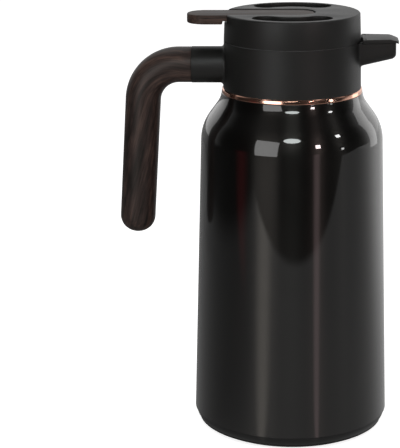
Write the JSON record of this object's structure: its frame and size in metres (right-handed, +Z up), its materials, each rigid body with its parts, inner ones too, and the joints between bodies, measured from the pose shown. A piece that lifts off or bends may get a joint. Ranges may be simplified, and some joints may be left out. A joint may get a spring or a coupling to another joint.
{
  "type": "thermal carafe",
  "caption": "Tall tapered vacuum carafe with a glass flask in a steel shell, side handle, hinged spout flap and a lift-out stopper whose thumb lever opens the pouring valve.",
  "frame": {"origin": "centre of the foot pad's underside, on the surface the carafe stands on", "axes": "+Z up along the carafe's axis, +X towards the spout, -X towards the handle"},
  "size_m": [0.1914, 0.136, 0.2935],
  "materials": {
    "shell_paint": "gloss black paint",
    "black_plastic": "fine matte grain",
    "inner_plastic": "smooth moulded",
    "plug_plastic": "clear pale moulded",
    "rose_gold": "polished rose gold plating",
    "grip_wood": "dark walnut grain, satin",
    "lever_wood": "dark walnut grain, satin",
    "flask_glass": "silvered glass",
    "brown_silicone": "matte silicone",
    "grey_silicone": "matte silicone",
    "steel": "plain stainless steel"
  },
  "bodies": {
    "carafe": {"outer_shell": "shell_paint", "base_cover": "black_plastic", "foot_pad": "grey_silicone", "liner_support": "grey_silicone", "flask_outer": "flask_glass", "flask_inner": "flask_glass", "mouth_gasket": "grey_silicone", "neck_nut": "inner_plastic", "trim_ring": "rose_gold", "collar": "black_plastic", "handle_core": "steel", "handle_grip": "grip_wood", "handle_screw": "steel", "flap_pin": "steel"},
    "flap": {"spout_flap": "black_plastic"},
    "stopper": {"cap_shell": "black_plastic", "cap_tray": "black_plastic", "cap_gasket": "grey_silicone", "cap_screws": "steel", "plug_body": "plug_plastic", "stem_guide": "plug_plastic", "stem_seal": "grey_silicone", "plug_seal": "brown_silicone", "plug_base": "plug_plastic", "valve_spring": "steel", "lever_pin": "steel"},
    "lever": {"press_lever": "lever_wood"},
    "valve": {"valve_stem": "inner_plastic", "valve_disc": "brown_silicone", "stem_pin": "steel"}
  },
  "joints": [
    {"name": "spout_flap_hinge", "type": "hinge", "parent": "carafe", "child": "flap", "pos_m": [0.0483, 0, 0.2751], "axis": [0, -1, 0], "range_deg": [0, 85]},
    {"name": "stopper_lift", "type": "slide", "parent": "carafe", "child": "stopper", "axis": [0, 0, 1], "range_m": [0, 0.08]},
    {"name": "lever_press", "type": "hinge", "parent": "stopper", "child": "lever", "pos_m": [-0.035, 0, 0.289], "axis": [0, -1, 0], "range_deg": [0, 9], "stiffness_Nm_per_rad": 1, "springref_deg": -5.73},
    {"name": "valve_lift", "type": "slide", "parent": "stopper", "child": "valve", "axis": [0, 0, 1], "range_m": [0, 0.0055], "deforming": ["valve_spring"]}
  ],
  "couplings": [
    {"joint": "valve_lift", "follows": "lever_press", "m_per_rad": 0.035}
  ]
}
